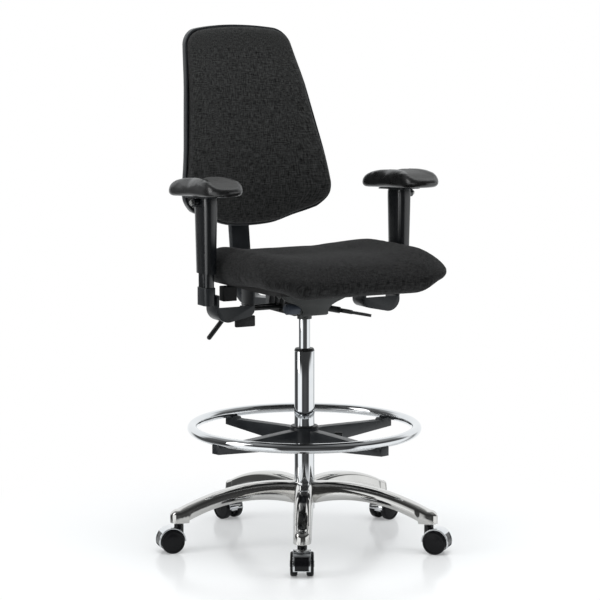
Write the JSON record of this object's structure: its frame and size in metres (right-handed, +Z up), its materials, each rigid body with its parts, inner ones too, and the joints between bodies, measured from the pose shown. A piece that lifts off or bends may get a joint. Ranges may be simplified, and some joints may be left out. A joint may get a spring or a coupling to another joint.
{
  "type": "drafting chair",
  "caption": "High drafting chair with upholstered seat and back, adjustable arms, gas lift column, sliding foot ring and a star base on twin-wheel casters.",
  "frame": {"origin": "on the column axis at floor level, where the chair stands", "axes": "+Z up along the column, the chair faces -Y, and the sitter's left is +X"},
  "size_m": [0.7182, 0.7386, 1.268],
  "materials": {
    "polished_aluminium": "polished cast",
    "chrome": "bright plated",
    "steel": "zinc plated",
    "dark_paint": "satin powder coat",
    "black_plastic": "fine texture",
    "grey_plastic": "smooth",
    "bearing_plastic": "smooth",
    "wheel_nylon": "smooth",
    "rubber": "matt",
    "pad_skin": "soft skinned foam, satin",
    "plywood": "black stained",
    "seat_fabric": "plain weave"
  },
  "bodies": {
    "base": {"base_star": "polished_aluminium", "column_tube": "chrome", "column_bush": "bearing_plastic"},
    "piston": {"thrust_bearing": "steel", "piston_rod": "steel"},
    "lift": {"gas_cylinder": "chrome", "mech_housing": "dark_paint", "pivot_pins": "steel", "pivot_cap": "grey_plastic", "rear_cover": "black_plastic"},
    "valve": {"release_pin": "steel"},
    "ring_sleeve": {"ring_sleeve": "bearing_plastic"},
    "ring": {"foot_ring": "chrome", "ring_spider": "dark_paint", "ring_screws": "steel"},
    "ring_knob": {"ring_knob": "black_plastic"},
    "height_lever": {"height_lever": "black_plastic"},
    "back_lever": {"back_lever": "black_plastic"},
    "tilt_lever": {"tilt_lever": "black_plastic"},
    "seat": {"seat_plate": "dark_paint", "seat_pan": "plywood", "seat_cushion": "seat_fabric", "seat_bolts": "steel", "arm_buffers": "rubber"},
    "back_bar": {"back_bar": "dark_paint"},
    "backrest": {"back_bracket": "black_plastic", "back_shell": "black_plastic", "back_cushion": "seat_fabric"},
    "arm_left": {"arm_bracket_left": "dark_paint", "arm_post_left": "steel"},
    "arm_top_left": {"arm_sleeve_left": "dark_paint", "arm_plate_left": "dark_paint", "arm_pad_left": "pad_skin"},
    "arm_button_left": {"arm_button_left": "steel"},
    "arm_right": {"arm_bracket_right": "dark_paint", "arm_post_right": "steel"},
    "arm_top_right": {"arm_sleeve_right": "dark_paint", "arm_plate_right": "dark_paint", "arm_pad_right": "pad_skin"},
    "arm_button_right": {"arm_button_right": "steel"},
    "caster_1": {"caster_hood_1": "chrome", "caster_pins_1": "steel"},
    "wheel_1a": {"caster_wheel_1a": "wheel_nylon"},
    "wheel_1b": {"caster_wheel_1b": "wheel_nylon"},
    "caster_2": {"caster_hood_2": "chrome", "caster_pins_2": "steel"},
    "wheel_2a": {"caster_wheel_2a": "wheel_nylon"},
    "wheel_2b": {"caster_wheel_2b": "wheel_nylon"},
    "caster_3": {"caster_hood_3": "chrome", "caster_pins_3": "steel"},
    "wheel_3a": {"caster_wheel_3a": "wheel_nylon"},
    "wheel_3b": {"caster_wheel_3b": "wheel_nylon"},
    "caster_4": {"caster_hood_4": "chrome", "caster_pins_4": "steel"},
    "wheel_4a": {"caster_wheel_4a": "wheel_nylon"},
    "wheel_4b": {"caster_wheel_4b": "wheel_nylon"},
    "caster_5": {"caster_hood_5": "chrome", "caster_pins_5": "steel"},
    "wheel_5a": {"caster_wheel_5a": "wheel_nylon"},
    "wheel_5b": {"caster_wheel_5b": "wheel_nylon"}
  },
  "joints": [
    {"name": "seat_swivel", "type": "hinge", "parent": "base", "child": "piston", "pos_m": [0, 0, 0.1], "axis": [0, 0, 1], "continuous": true},
    {"name": "gas_lift", "type": "slide", "parent": "piston", "child": "lift", "axis": [0, 0, 1], "range_m": [-0.065, 0.18]},
    {"name": "valve_pin", "type": "slide", "parent": "lift", "child": "valve", "axis": [0, 0, 1], "range_m": [-0.0035, 0], "stiffness_N_per_m": 1500, "springref_m": 0.001},
    {"name": "height_lever_rock", "type": "hinge", "parent": "lift", "child": "height_lever", "pos_m": [-0.0305, 0.048, 0.586], "axis": [0, 1, 0], "range_deg": [0, 6], "stiffness_Nm_per_rad": 1.5, "springref_deg": -2.86},
    {"name": "back_lever_turn", "type": "hinge", "parent": "lift", "child": "back_lever", "pos_m": [-0.12, 0.078, 0.586], "axis": [-1, 0, 0], "range_deg": [0, 30]},
    {"name": "tilt_lever_turn", "type": "hinge", "parent": "lift", "child": "tilt_lever", "pos_m": [0.08, 0, 0.586], "axis": [1, 0, 0], "range_deg": [0, 15]},
    {"name": "seat_tilt", "type": "hinge", "parent": "lift", "child": "seat", "pos_m": [0, -0.042, 0.592], "axis": [-1, 0, 0], "range_deg": [-4, 6]},
    {"name": "back_angle", "type": "hinge", "parent": "lift", "child": "back_bar", "pos_m": [0, 0.085, 0.598], "axis": [-1, 0, 0], "range_deg": [-8, 12]},
    {"name": "back_height", "type": "slide", "parent": "back_bar", "child": "backrest", "axis": [0, 0.1392, 0.9903], "range_m": [-0.03, 0.05]},
    {"name": "arm_width_left", "type": "slide", "parent": "seat", "child": "arm_left", "axis": [1, 0, 0], "range_m": [0, 0.025]},
    {"name": "arm_height_left", "type": "slide", "parent": "arm_left", "child": "arm_top_left", "axis": [0, 0, 1], "range_m": [-0.03, 0.06]},
    {"name": "arm_button_press_left", "type": "slide", "parent": "arm_top_left", "child": "arm_button_left", "axis": [-1, 0, 0], "range_m": [0, 0.004], "stiffness_N_per_m": 800, "springref_m": -0.002},
    {"name": "arm_width_right", "type": "slide", "parent": "seat", "child": "arm_right", "axis": [-1, 0, 0], "range_m": [0, 0.025]},
    {"name": "arm_height_right", "type": "slide", "parent": "arm_right", "child": "arm_top_right", "axis": [0, 0, 1], "range_m": [-0.03, 0.06]},
    {"name": "arm_button_press_right", "type": "slide", "parent": "arm_top_right", "child": "arm_button_right", "axis": [1, 0, 0], "range_m": [0, 0.004], "stiffness_N_per_m": 800, "springref_m": -0.002},
    {"name": "ring_slide", "type": "slide", "parent": "base", "child": "ring_sleeve", "axis": [0, 0, 1], "range_m": [-0.07, 0.1]},
    {"name": "ring_turn", "type": "hinge", "parent": "ring_sleeve", "child": "ring", "pos_m": [0, 0, 0.29], "axis": [0, 0, 1], "continuous": true},
    {"name": "ring_knob_turn", "type": "hinge", "parent": "ring", "child": "ring_knob", "pos_m": [0, 0, 0.266], "axis": [0.8572, -0.515, 0], "range_deg": [0, 180]},
    {"name": "caster_swivel_1", "type": "hinge", "parent": "base", "child": "caster_1", "pos_m": [-0.15514, -0.27988, 0.08], "axis": [0, 0, 1], "continuous": true},
    {"name": "wheel_roll_1a", "type": "hinge", "parent": "caster_1", "child": "wheel_1a", "pos_m": [-0.16484, -0.29737, 0.029], "axis": [0.8746, -0.4848, 0], "continuous": true},
    {"name": "wheel_roll_1b", "type": "hinge", "parent": "caster_1", "child": "wheel_1b", "pos_m": [-0.16484, -0.29737, 0.029], "axis": [0.8746, -0.4848, 0], "continuous": true},
    {"name": "caster_swivel_2", "type": "hinge", "parent": "base", "child": "caster_2", "pos_m": [0.21824, -0.23403, 0.08], "axis": [0, 0, 1], "continuous": true},
    {"name": "wheel_roll_2a", "type": "hinge", "parent": "caster_2", "child": "wheel_2a", "pos_m": [0.23188, -0.24866, 0.029], "axis": [0.7314, 0.682, 0], "continuous": true},
    {"name": "wheel_roll_2b", "type": "hinge", "parent": "caster_2", "child": "wheel_2b", "pos_m": [0.23188, -0.24866, 0.029], "axis": [0.7314, 0.682, 0], "continuous": true},
    {"name": "caster_swivel_3", "type": "hinge", "parent": "base", "child": "caster_3", "pos_m": [0.29002, 0.13524, 0.08], "axis": [0, 0, 1], "continuous": true},
    {"name": "wheel_roll_3a", "type": "hinge", "parent": "caster_3", "child": "wheel_3a", "pos_m": [0.30893, 0.14175, 0.029], "axis": [-0.3256, 0.9455, 0], "continuous": true},
    {"name": "wheel_roll_3b", "type": "hinge", "parent": "caster_3", "child": "wheel_3b", "pos_m": [0.30893, 0.14175, 0.029], "axis": [-0.3256, 0.9455, 0], "continuous": true},
    {"name": "caster_swivel_4", "type": "hinge", "parent": "base", "child": "caster_4", "pos_m": [-0.039, 0.31761, 0.08], "axis": [0, 0, 1], "continuous": true},
    {"name": "wheel_roll_4a", "type": "hinge", "parent": "caster_4", "child": "wheel_4a", "pos_m": [-0.04384, 0.33702, 0.029], "axis": [-0.9703, -0.2419, 0], "continuous": true},
    {"name": "wheel_roll_4b", "type": "hinge", "parent": "caster_4", "child": "wheel_4b", "pos_m": [-0.04384, 0.33702, 0.029], "axis": [-0.9703, -0.2419, 0], "continuous": true},
    {"name": "caster_swivel_5", "type": "hinge", "parent": "base", "child": "caster_5", "pos_m": [-0.31412, 0.06106, 0.08], "axis": [0, 0, 1], "continuous": true},
    {"name": "wheel_roll_5a", "type": "hinge", "parent": "caster_5", "child": "wheel_5a", "pos_m": [-0.33375, 0.06488, 0.029], "axis": [-0.1908, -0.9816, 0], "continuous": true},
    {"name": "wheel_roll_5b", "type": "hinge", "parent": "caster_5", "child": "wheel_5b", "pos_m": [-0.33375, 0.06488, 0.029], "axis": [-0.1908, -0.9816, 0], "continuous": true}
  ],
  "couplings": [
    {"joint": "valve_pin", "follows": "height_lever_rock", "m_per_rad": -0.0305}
  ]
}
